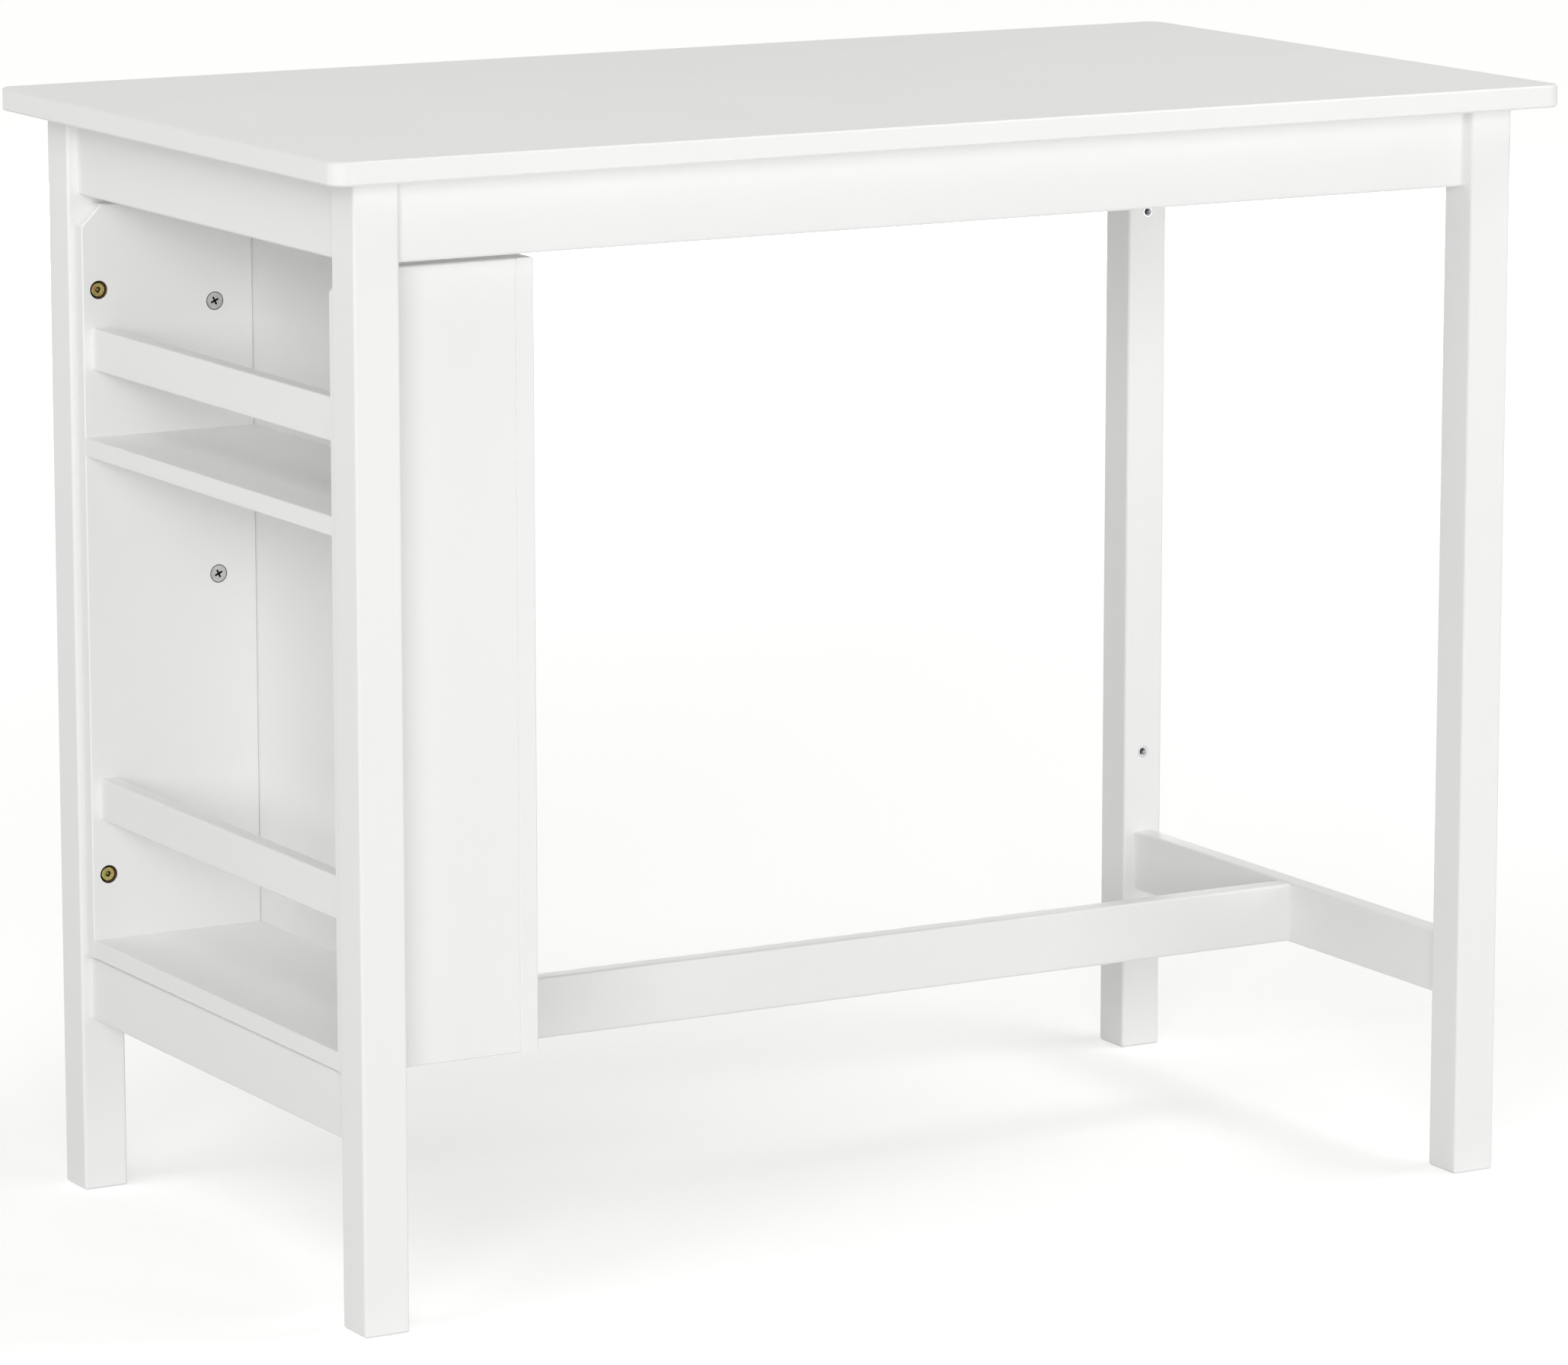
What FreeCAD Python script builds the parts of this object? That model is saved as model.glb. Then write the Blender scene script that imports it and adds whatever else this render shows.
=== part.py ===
import FreeCAD, Part
import os
import re

import Sketcher

# Bar table with an open shelf unit at its left end.
# X runs along the table, Y from front to back, Z up.
# The origin is on the floor, under the middle of the top.
# The base is mortised and glued. The shelf unit is bolted to inserts in the legs,
# and cam locks draw its divider panel up to its side panels.

# Driving dimensions in millimetres
SIZES = {
    # Whole table
    "table_length": 1100,
    "table_width": 610,
    "table_height": 900,
    "overhang": 30,
    # Top board
    "top_thickness": 18,
    "top_corner_radius": 14,
    "top_edge_chamfer": 1.5,
    # Legs
    "leg_side": 38,
    "leg_edge_radius": 2.5,
    "foot_chamfer": 2,
    # Aprons and stretchers, all set back alike from the legs' outer faces
    "rail_setback": 9,
    "rail_edge_radius": 2.5,
    "apron_height": 64,
    "apron_thickness": 18,
    "stretcher_low": 143,
    "stretcher_height": 52,
    "stretcher_thickness": 18,
    "long_stretcher_height": 50,
    # Mortise and tenon joints
    "tenon_thickness": 8,
    "tenon_shoulder": 10,
    "mortise_wall": 2,
    "mortise_clearance": 0.1,
    "stub_tenon_length": 10,
    # Blocks glued in the corners between the aprons and the top
    "block_side": 18,
    "block_length": 60,
    "block_spacing": 320,
    # Shelf unit
    "unit_gap": 2,
    "unit_top_gap": 7,
    "panel_thickness": 15,
    "panel_edge_chamfer": 1,
    "panel_setback": 5,
    "side_panel_depth": 150,
    "corner_chamfer": 17,
    "upper_compartment_height": 187,
    "tongue_thickness": 7,
    "tongue_length": 6,
    "tongue_stop": 12,
    "guard_height": 34,
    "guard_thickness": 15,
    "guard_setback": 8,
    "guard_edge_radius": 2,
    "guard_lower_rise": 99,
    "guard_upper_rise": 54,
    "guard_tenon_thickness": 7,
    "guard_tenon_shoulder": 5,
    "guard_tenon_length": 8,
    # Bolts that hold the side panels to the inserts in the legs
    "panel_bolt_inset": 68.5,
    "bolt_diameter": 6,
    "bolt_head_diameter": 12.6,
    "bolt_head_height": 4,
    "bolt_engagement": 12,
    "bolt_clearance": 0.5,
    "socket_width": 4,
    "socket_depth": 2.5,
    "counterbore_diameter": 15,
    "counterbore_depth": 5,
    "insert_diameter": 10,
    "insert_length": 13,
    "insert_end_gap": 2,
    "thread_clearance": 0.05,
    # Cam locks and their bolts, which draw the divider to the side panels
    "cam_end_inset": 84,
    "cam_inset": 34,
    "cam_bore_diameter": 15,
    "cam_clearance": 0.08,
    "cam_floor": 2.5,
    "cam_end_gap": 0.5,
    "cam_hollow_radius": 4.7,
    "cam_eccentricity": 0.6,
    "cam_head_clearance": 0.25,
    "cam_hollow_clearance": 0.45,
    "cross_span": 7,
    "cross_width": 1.6,
    "cross_depth": 2,
    "cam_bolt_diameter": 5,
    "cam_bolt_thread_length": 11,
    "cam_bolt_end_gap": 1,
    "cam_bolt_head_diameter": 7,
    "cam_bolt_head_front": 3.4,
    "cam_bolt_head_back": 1,
    # Cuts run past a face by this much
    "cut_overrun": 1,
    # Centre to corner of a hexagon, as a share of its width across flats
    "hexagon_corner_share": 0.57735,
    # Cosine of 30 degrees, the step between the corners of a twelve-sided outline
    "twelfth_turn_share": 0.866025,
}

# Angles in degrees, and the tolerance for picking edges
QUARTER_TURN = 90
CROSS_TURN = 25
SMALL = 0.001

# Planes and places that several pieces share, written in the sizes above
LEG_OUT_X = "(table_length / 2 - overhang)"
LEG_IN_X = "(table_length / 2 - overhang - leg_side)"
LEG_MID_X = "(table_length / 2 - overhang - leg_side / 2)"
LEG_OUT_Y = "(table_width / 2 - overhang)"
LEG_IN_Y = "(table_width / 2 - overhang - leg_side)"
FRAME_TOP = "(table_height - top_thickness)"
APRON_LOW = "(table_height - top_thickness - apron_height)"
APRON_IN_X = "(table_length / 2 - overhang - rail_setback - apron_thickness)"
APRON_IN_Y = "(table_width / 2 - overhang - rail_setback - apron_thickness)"
STRETCHER_MID = "(stretcher_low + stretcher_height / 2)"
STRETCHER_IN_X = "(table_length / 2 - overhang - rail_setback - stretcher_thickness)"
UNIT_LOW = "(stretcher_low + stretcher_height + unit_gap)"
UNIT_HEIGHT = "(%s - unit_top_gap - %s)" % (APRON_LOW, UNIT_LOW)
UNIT_LEFT = "(overhang + panel_setback - table_length / 2)"
UNIT_IN_Y = "(table_width / 2 - overhang - leg_side - panel_thickness)"
DIVIDER_LEFT = "(overhang + panel_setback + side_panel_depth - table_length / 2)"
PANEL_MID_Y = "(table_width / 2 - overhang - leg_side - panel_thickness / 2)"

# Two mortises meet in a leg, and this depth keeps a wall between them
MORTISE_DEPTH = "(leg_side - rail_setback - apron_thickness / 2 - tenon_thickness / 2 - mortise_wall)"

# Heights in the shelf unit, measured up from its lower edge
SHELF_LOWS = ["0", "(%s - upper_compartment_height - panel_thickness)" % UNIT_HEIGHT]
GUARD_LOWS = [
    "(panel_thickness + guard_lower_rise)",
    "(%s - upper_compartment_height + guard_upper_rise)" % UNIT_HEIGHT,
]
BOLT_HEIGHTS = ["panel_bolt_inset", "(%s - panel_bolt_inset)" % UNIT_HEIGHT]
CAM_HEIGHTS = {
    "lower": "cam_end_inset",
    "middle": "(%s / 2)" % UNIT_HEIGHT,
    "upper": "(%s - cam_end_inset)" % UNIT_HEIGHT,
}

# Cosines of the twelve corners of an outline, from one step of 30 degrees to the next
TWELVE_COSINES = [
    "1", "twelfth_turn_share", "1 / 2", "0", "-1 / 2", "-twelfth_turn_share",
    "-1", "-twelfth_turn_share", "-1 / 2", "0", "1 / 2", "twelfth_turn_share",
]

# A cam lock's own sizes, and the room that its bolt needs in it
CAM_RADIUS = "(cam_bore_diameter / 2 - cam_clearance)"
CAM_LENGTH = "(panel_thickness - cam_floor - cam_end_gap)"
CAM_DEPTH = "(panel_thickness / 2)"
HEAD_ROOM = "(cam_bolt_head_diameter / 2 + cam_head_clearance)"
SHANK_ROOM = "(cam_bolt_diameter / 2 + cam_head_clearance)"
HOLLOW_ROOM = "(cam_bolt_head_diameter / 2 + cam_hollow_clearance)"

# For each face of a board: its plane, the sign and axis of its place, and whether features run backwards
FACES = {
    "left": ("YZ_Plane", "", None, True),
    "right": ("YZ_Plane", "", 0, False),
    "front": ("XZ_Plane", "", None, False),
    "back": ("XZ_Plane", "-", 1, True),
    "bottom": ("XY_Plane", "", None, True),
    "top": ("XY_Plane", "", 2, False),
}

os.makedirs("parts", exist_ok=True)
doc = FreeCAD.newDocument("bar_table")
sheet = doc.addObject("Spreadsheet::Sheet", "Sizes")
for row, (name, number) in enumerate(SIZES.items(), 1):
    sheet.set("A%d" % row, name)
    sheet.set("B%d" % row, str(number))
    sheet.setAlias("B%d" % row, name)
doc.recompute()


def value(formula):
    """The number that a formula in named sizes gives."""
    plain = re.sub("[a-z][a-z_]*", lambda word: repr(float(SIZES[word.group(0)])), formula)
    return FreeCAD.Units.parseQuantity(plain).Value


def sized(formula):
    """The formula with each name turned into a reference to its cell."""
    return re.sub("[a-z][a-z_]*", lambda word: "Sizes." + word.group(0), formula)


def new_body(label, place=("0", "0", "0"), turn=None):
    body = doc.addObject("PartDesign::Body", label)
    body.Label = label
    if turn:
        body.Placement = FreeCAD.Placement(FreeCAD.Vector(), turn)
    for axis, formula in zip("xyz", place):
        body.setExpression("Placement.Base." + axis, sized(formula))
    return body


def origin_plane(body, role):
    return [feature for feature in body.Origin.OriginFeatures if feature.Role == role][0]


def new_sketch(body, name, role, height="0", turn=0):
    """A sketch on an origin plane of the body, moved along its normal by a height and turned about it."""
    sketch = body.newObject("Sketcher::SketchObject", name)
    sketch.AttachmentSupport = [(origin_plane(body, role), "")]
    sketch.MapMode = "FlatFace"
    about_normal = FreeCAD.Rotation(FreeCAD.Vector(0, 0, 1), turn)
    sketch.AttachmentOffset = FreeCAD.Placement(FreeCAD.Vector(), about_normal)
    sketch.setExpression("AttachmentOffset.Base.z", sized(height))
    return sketch


def pin_point(sketch, line, end, u, v):
    """Ties one point of a sketch to the two formulas of its place."""
    for kind, formula, axis in (("DistanceX", u, -2), ("DistanceY", v, -1)):
        if formula == "0":
            sketch.addConstraint(Sketcher.Constraint("PointOnObject", line, end, axis))
            continue
        rule = sketch.addConstraint(Sketcher.Constraint(kind, -1, 1, line, end, value(formula)))
        sketch.setExpression("Constraints[%d]" % rule, sized(formula))


def draw_outline(sketch, points):
    """A closed outline of straight lines through the given places."""
    first = sketch.GeometryCount
    count = len(points)
    corners = [FreeCAD.Vector(value(u), value(v), 0) for u, v in points]
    for i in range(count):
        sketch.addGeometry(Part.LineSegment(corners[i], corners[(i + 1) % count]))
    for i in range(count):
        sketch.addConstraint(Sketcher.Constraint("Coincident", first + i, 2, first + (i + 1) % count, 1))
        pin_point(sketch, first + i, 1, *points[i])


def draw_rectangle(sketch, low_u, low_v, high_u, high_v):
    draw_outline(sketch, [(low_u, low_v), (high_u, low_v), (high_u, high_v), (low_u, high_v)])


def draw_circles(sketch, places, diameter):
    for u, v in places:
        middle = FreeCAD.Vector(value(u), value(v), 0)
        ring = sketch.addGeometry(Part.Circle(middle, FreeCAD.Vector(0, 0, 1), value(diameter) / 2))
        pin_point(sketch, ring, 3, u, v)
        rule = sketch.addConstraint(Sketcher.Constraint("Diameter", ring, value(diameter)))
        sketch.setExpression("Constraints[%d]" % rule, sized(diameter))


def draw_hexagon(sketch, u, v, across):
    corner = across + " * hexagon_corner_share"
    right = "%s + %s / 2" % (u, across)
    left = "%s - %s / 2" % (u, across)
    high = "%s + %s / 2" % (v, corner)
    low = "%s - %s / 2" % (v, corner)
    draw_outline(sketch, [
        (right, low), (right, high), (u, "%s + %s" % (v, corner)),
        (left, high), (left, low), (u, "%s - %s" % (v, corner)),
    ])


def draw_twelve_sided(sketch, places, diameter):
    """Outlines for round work that stays hidden, with twelve corners on the circle of the diameter."""
    for middle in places:
        points = []
        for step in range(12):
            shares = (TWELVE_COSINES[step], TWELVE_COSINES[step - 3])
            points.append([
                place if share == "0" else "%s + (%s) / 2 * (%s)" % (place, diameter, share)
                for place, share in zip(middle, shares)
            ])
        draw_outline(sketch, points)


def pad(body, sketch, length, backwards=False):
    feature = body.newObject("PartDesign::Pad", sketch.Name + "_pad")
    feature.Profile = sketch
    feature.setExpression("Length", sized(length))
    feature.Reversed = backwards
    doc.recompute()


def pocket(body, sketch, depth, backwards=False):
    """Cuts against the sketch's normal, or along it when backwards, and makes sure that it cut something."""
    before = body.Shape.Volume
    feature = body.newObject("PartDesign::Pocket", sketch.Name + "_cut")
    feature.Profile = sketch
    feature.setExpression("Length", sized(depth))
    feature.Reversed = backwards
    doc.recompute()
    if not body.Shape.Volume < before:
        raise RuntimeError("%s of %s cuts nothing" % (feature.Name, body.Label))


def dress(body, kind, name, size, wanted):
    """Rounds or chamfers the edges that the wanted function picks."""
    base = body.Tip
    edges = ["Edge%d" % i for i, edge in enumerate(base.Shape.Edges, 1) if wanted(edge)]
    feature = body.newObject("PartDesign::" + kind, body.Name + "_" + name)
    feature.Base = (base, edges)
    feature.setExpression("Radius" if kind == "Fillet" else "Size", sized(size))
    doc.recompute()


def runs_along(edge, axis):
    """True for a straight edge that runs along one of the axes x, y or z."""
    ends = [vertex.Point for vertex in edge.Vertexes]
    if len(ends) < 2:
        return False
    step = ends[1] - ends[0]
    return abs(getattr(step, axis)) > (1 - SMALL) * step.Length > 0


def mirror(body, role):
    """Mirrors the whole body made so far in one of its origin planes."""
    feature = body.newObject("PartDesign::Mirrored", body.Name + "_mirror")
    feature.TransformMode = "Whole shape"
    feature.MirrorPlane = (origin_plane(body, role), [""])
    body.Tip = feature
    doc.recompute()


def spread(middle, distance):
    """Two formulas, half the distance below and above the middle."""
    return ["%s - (%s) / 2" % (middle, distance), "%s + (%s) / 2" % (middle, distance)]


class Board:
    """A board with its low corner at a place, its length, width and height along X, Y and Z."""

    def __init__(self, label, size, place, profile=None):
        self.body = new_body(label, place)
        self.size = size
        self.features = 0
        if profile:
            sketch = new_sketch(self.body, label + "_profile", "XZ_Plane")
            draw_outline(sketch, profile)
            pad(self.body, sketch, size[1], backwards=True)
        else:
            sketch = new_sketch(self.body, label + "_plan", "XY_Plane")
            draw_rectangle(sketch, "0", "0", size[0], size[1])
            pad(self.body, sketch, size[2])

    def face_sketch(self, face):
        """A new sketch on one of the faces, and whether features on it run backwards."""
        role, sign, axis, backwards = FACES[face]
        height = "0" if axis is None else "%s(%s)" % (sign, self.size[axis])
        self.features += 1
        sketch = new_sketch(self.body, "%s_sketch_%d" % (self.body.Name, self.features), role, height)
        return sketch, backwards

    def bore(self, face, places, diameter, depth, draw=draw_circles):
        """Holes of one size in a face, at places measured from the board's low corner."""
        sketch, backwards = self.face_sketch(face)
        draw(sketch, places, diameter)
        pocket(self.body, sketch, depth, backwards)

    def tenon(self, face, bounds, length):
        """A tongue that stands out of a face, between low and high bounds in that face."""
        sketch, backwards = self.face_sketch(face)
        draw_rectangle(sketch, *bounds)
        pad(self.body, sketch, length, backwards)

    def mortise(self, face, bounds, depth):
        """The slot for such a tongue, with clearance all round."""
        sketch, backwards = self.face_sketch(face)
        low_u, low_v, high_u, high_v = bounds
        slot = ["%s - mortise_clearance" % low_u, "%s - mortise_clearance" % low_v,
                "%s + mortise_clearance" % high_u, "%s + mortise_clearance" % high_v]
        draw_rectangle(sketch, *slot)
        pocket(self.body, sketch, "%s + mortise_clearance" % depth, backwards)


def tenon_bounds(middle_u, thickness, low_v, height, shoulder):
    """A tongue's bounds: its thickness about a middle, and a rail's height less a shoulder at each edge."""
    low_u, high_u = spread(middle_u, thickness)
    return (low_u, "%s + %s" % (low_v, shoulder), high_u, "%s + %s - %s" % (low_v, height, shoulder))


def shelf_tongue_bounds(low):
    """The tongue at a shelf's end, stopped short of the front edge."""
    low_v, high_v = spread("%s + panel_thickness / 2" % low, "tongue_thickness")
    return ("tongue_stop", low_v, "side_panel_depth", high_v)


def guard_tenon_bounds(left, low):
    middle = "%s + guard_thickness / 2" % left
    return tenon_bounds(middle, "guard_tenon_thickness", low, "guard_height", "guard_tenon_shoulder")


def make_top():
    size = ("table_length", "table_width", "top_thickness")
    top = Board("table_top", size, ("-table_length / 2", "-table_width / 2", FRAME_TOP))
    dress(top.body, "Fillet", "corners", "top_corner_radius", lambda edge: runs_along(edge, "z"))
    dress(top.body, "Chamfer", "rims", "top_edge_chamfer", lambda edge: edge.BoundBox.ZLength < SMALL)
    return top.body


def make_leg(label, side_x, side_y):
    """A leg, with side_x and side_y of -1 for left and front, 1 for right and back."""
    x = LEG_OUT_X + " - leg_side" if side_x > 0 else "-" + LEG_OUT_X
    y = LEG_OUT_Y + " - leg_side" if side_y > 0 else "-" + LEG_OUT_Y
    leg = Board(label, ("leg_side", "leg_side", FRAME_TOP), (x, y, "0"))
    dress(leg.body, "Chamfer", "foot", "foot_chamfer", lambda edge: edge.BoundBox.ZMax < SMALL)
    dress(leg.body, "Fillet", "edges", "leg_edge_radius", lambda edge: runs_along(edge, "z"))
    inner_x = "left" if side_x > 0 else "right"
    inner_y = "front" if side_y > 0 else "back"

    def across(distance, side):
        """A place measured from the leg's outer face on one side."""
        return "(leg_side - (%s))" % distance if side > 0 else "(%s)" % distance

    apron_middle = "rail_setback + apron_thickness / 2"
    stretcher_middle = "rail_setback + stretcher_thickness / 2"
    tongues = [
        (inner_y, across(apron_middle, side_x), APRON_LOW, "apron_height"),
        (inner_x, across(apron_middle, side_y), APRON_LOW, "apron_height"),
        (inner_y, across(stretcher_middle, side_x), "stretcher_low", "stretcher_height"),
    ]
    for face, middle, low, height in tongues:
        bounds = tenon_bounds(middle, "tenon_thickness", low, height, "tenon_shoulder")
        leg.mortise(face, bounds, MORTISE_DEPTH)
    places = [("leg_side / 2", "%s + %s" % (UNIT_LOW, rise)) for rise in BOLT_HEIGHTS]
    insert_bore = "insert_diameter + 2 * thread_clearance"
    leg.bore(inner_y, places, insert_bore, "insert_length + insert_end_gap", draw_twelve_sided)
    return leg.body


def make_rail(label, along, size, place, faces, tenon_length, upper_rounded):
    """A rail with rounded edges along its length, and a tenon at each end."""
    rail = Board(label, size, place)
    dress(rail.body, "Fillet", "edges", "rail_edge_radius",
          lambda edge: runs_along(edge, along) and (upper_rounded or edge.BoundBox.ZMax < SMALL))
    thickness = size[1] if along == "x" else size[0]
    bounds = tenon_bounds("%s / 2" % thickness, "tenon_thickness", "0", size[2], "tenon_shoulder")
    for face in faces:
        rail.tenon(face, bounds, tenon_length)
    return rail


def make_long_apron(label, side):
    """The front apron with a side of -1, the back one with 1."""
    y = APRON_IN_Y if side > 0 else "-%s - apron_thickness" % APRON_IN_Y
    size = ("2 * " + LEG_IN_X, "apron_thickness", "apron_height")
    place = ("-" + LEG_IN_X, y, APRON_LOW)
    return make_rail(label, "x", size, place, ("left", "right"), MORTISE_DEPTH, False).body


def make_end_apron(label, side):
    """The left apron with a side of -1, the right one with 1."""
    x = APRON_IN_X if side > 0 else "-%s - apron_thickness" % APRON_IN_X
    size = ("apron_thickness", "2 * " + LEG_IN_Y, "apron_height")
    place = (x, "-" + LEG_IN_Y, APRON_LOW)
    return make_rail(label, "y", size, place, ("front", "back"), MORTISE_DEPTH, False).body


def make_end_stretcher(label, side):
    """A low rail between two legs, mortised in the middle for the long stretcher."""
    x = STRETCHER_IN_X if side > 0 else "-%s - stretcher_thickness" % STRETCHER_IN_X
    size = ("stretcher_thickness", "2 * " + LEG_IN_Y, "stretcher_height")
    place = (x, "-" + LEG_IN_Y, "stretcher_low")
    rail = make_rail(label, "y", size, place, ("front", "back"), MORTISE_DEPTH, True)
    low = "(stretcher_height - long_stretcher_height) / 2"
    bounds = tenon_bounds(LEG_IN_Y, "tenon_thickness", low, "long_stretcher_height", "tenon_shoulder")
    rail.mortise("left" if side > 0 else "right", bounds, "stub_tenon_length")
    return rail.body


def make_long_stretcher():
    size = ("2 * " + STRETCHER_IN_X, "stretcher_thickness", "long_stretcher_height")
    low = STRETCHER_MID + " - long_stretcher_height / 2"
    place = ("-" + STRETCHER_IN_X, "-stretcher_thickness / 2", low)
    faces = ("left", "right")
    return make_rail("stretcher_long", "x", size, place, faces, "stub_tenon_length", True).body


def make_glue_blocks():
    """Blocks under the top, behind the long aprons and in the middle of the end aprons."""
    body = new_body("glue_blocks", ("0", "0", FRAME_TOP))
    plan = new_sketch(body, "glue_blocks_plan", "XY_Plane")
    half = "block_length / 2"
    for middle in ("-block_spacing", "0", "block_spacing"):
        left, right = spread(middle, "block_length")
        for near in (APRON_IN_Y + " - block_side", "-" + APRON_IN_Y):
            draw_rectangle(plan, left, near, right, near + " + block_side")
    for near in (APRON_IN_X + " - block_side", "-" + APRON_IN_X):
        draw_rectangle(plan, near, "-" + half, near + " + block_side", half)
    pad(body, plan, "block_side", backwards=True)
    return body


def make_side_panel(label, side):
    """A side of the shelf unit, with its top left corner cut off at 45 degrees."""
    y = UNIT_IN_Y if side > 0 else "-%s - panel_thickness" % UNIT_IN_Y
    size = ("side_panel_depth", "panel_thickness", UNIT_HEIGHT)
    profile = [
        ("0", "0"), ("side_panel_depth", "0"), ("side_panel_depth", UNIT_HEIGHT),
        ("corner_chamfer", UNIT_HEIGHT), ("0", UNIT_HEIGHT + " - corner_chamfer"),
    ]
    panel = Board(label, size, (UNIT_LEFT, y, UNIT_LOW), profile)
    dress(panel.body, "Chamfer", "rims", "panel_edge_chamfer", lambda edge: not runs_along(edge, "y"))
    inner = "front" if side > 0 else "back"
    bolts = [("leg_side / 2 - panel_setback", rise) for rise in BOLT_HEIGHTS]
    panel.bore(inner, bolts, "counterbore_diameter", "counterbore_depth")
    bolt_bore = "bolt_diameter + 2 * bolt_clearance"
    panel.bore(inner, bolts, bolt_bore, "panel_thickness + cut_overrun", draw_twelve_sided)
    cams = [("side_panel_depth - cam_inset", rise) for rise in CAM_HEIGHTS.values()]
    panel.bore(inner, cams, "cam_bore_diameter", "panel_thickness - cam_floor")
    cam_bolts = [("panel_thickness / 2", rise) for rise in CAM_HEIGHTS.values()]
    panel.bore("right", cam_bolts, "2 * " + HEAD_ROOM, "cam_inset", draw_twelve_sided)
    for low in SHELF_LOWS:
        panel.mortise(inner, shelf_tongue_bounds(low), "tongue_length")
    for low in GUARD_LOWS:
        panel.mortise(inner, guard_tenon_bounds("guard_setback", low), "guard_tenon_length")
    return panel.body


def make_divider():
    """The panel that closes the shelf unit towards the knee space."""
    size = ("panel_thickness", "2 * " + LEG_IN_Y, UNIT_HEIGHT)
    panel = Board("divider_panel", size, (DIVIDER_LEFT, "-" + LEG_IN_Y, UNIT_LOW))
    dress(panel.body, "Chamfer", "rims", "panel_edge_chamfer", lambda edge: not runs_along(edge, "x"))
    edges = ["panel_thickness / 2", "2 * %s - panel_thickness / 2" % LEG_IN_Y]
    places = [(y, rise) for y in edges for rise in CAM_HEIGHTS.values()]
    thread = "cam_bolt_diameter + 2 * thread_clearance"
    panel.bore("left", places, thread, "cam_bolt_thread_length + cam_bolt_end_gap", draw_twelve_sided)
    return panel.body


def make_shelf(label, low):
    size = ("side_panel_depth", "2 * " + UNIT_IN_Y, "panel_thickness")
    shelf = Board(label, size, (UNIT_LEFT, "-" + UNIT_IN_Y, "%s + %s" % (UNIT_LOW, low)))
    dress(shelf.body, "Chamfer", "front_edges", "panel_edge_chamfer",
          lambda edge: runs_along(edge, "y") and edge.BoundBox.XMax < SMALL)
    for face in ("front", "back"):
        shelf.tenon(face, shelf_tongue_bounds("0"), "tongue_length")
    return shelf.body


def make_guard_rail(label, low):
    """A rail across the open side of a compartment that keeps things on the shelf."""
    size = ("guard_thickness", "2 * " + UNIT_IN_Y, "guard_height")
    place = (UNIT_LEFT + " + guard_setback", "-" + UNIT_IN_Y, "%s + %s" % (UNIT_LOW, low))
    rail = Board(label, size, place)
    dress(rail.body, "Fillet", "edges", "guard_edge_radius", lambda edge: runs_along(edge, "y"))
    for face in ("front", "back"):
        rail.tenon(face, guard_tenon_bounds("0", "0"), "guard_tenon_length")
    return rail.body


def make_leg_inserts():
    """Threaded inserts, two in each leg's inner face: the right ones let the shelf unit change ends."""
    body = new_body("leg_inserts", ("0", "0", UNIT_LOW))
    places = [(x, rise) for x in ("-" + LEG_MID_X, LEG_MID_X) for rise in BOLT_HEIGHTS]
    rings = new_sketch(body, "leg_inserts_rings", "XZ_Plane", LEG_IN_Y)
    draw_twelve_sided(rings, places, "insert_diameter")
    draw_circles(rings, places, "bolt_diameter + 2 * thread_clearance")
    pad(body, rings, "insert_length")
    mirror(body, "XZ_Plane")
    return body


def make_panel_bolts():
    """Socket-head bolts through the side panels into the left legs' inserts."""
    body = new_body("panel_bolts", ("-" + LEG_MID_X, "0", UNIT_LOW))
    places = [("0", rise) for rise in BOLT_HEIGHTS]
    seat = "(%s + counterbore_depth)" % UNIT_IN_Y
    shank = new_sketch(body, "panel_bolts_shank", "XZ_Plane", seat)
    draw_twelve_sided(shank, places, "bolt_diameter")
    pad(body, shank, "panel_thickness - counterbore_depth + bolt_engagement")
    head = new_sketch(body, "panel_bolts_head", "XZ_Plane", seat)
    draw_circles(head, places, "bolt_head_diameter")
    pad(body, head, "bolt_head_height", backwards=True)
    socket = new_sketch(body, "panel_bolts_socket", "XZ_Plane", seat + " - bolt_head_height")
    for u, v in places:
        draw_hexagon(socket, u, v, "socket_width")
    pocket(body, socket, "socket_depth", backwards=True)
    mirror(body, "XZ_Plane")
    return body


def make_cam_bolts():
    """Bolts screwed into the divider, each with a head that its cam lock pulls on."""
    half_turn = FreeCAD.Rotation(FreeCAD.Vector(0, 0, 1), 2 * QUARTER_TURN)
    body = new_body("cam_bolts", (DIVIDER_LEFT, "0", UNIT_LOW), half_turn)
    places = [(PANEL_MID_Y, rise) for rise in CAM_HEIGHTS.values()]
    shank = new_sketch(body, "cam_bolts_shank", "YZ_Plane", "-cam_bolt_thread_length")
    draw_twelve_sided(shank, places, "cam_bolt_diameter")
    pad(body, shank, "cam_bolt_thread_length + cam_inset - cam_bolt_head_front")
    head = new_sketch(body, "cam_bolts_head", "YZ_Plane", "cam_inset - cam_bolt_head_front")
    draw_circles(head, places, "cam_bolt_head_diameter")
    pad(body, head, "cam_bolt_head_front + cam_bolt_head_back")
    mirror(body, "XZ_Plane")
    return body


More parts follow.
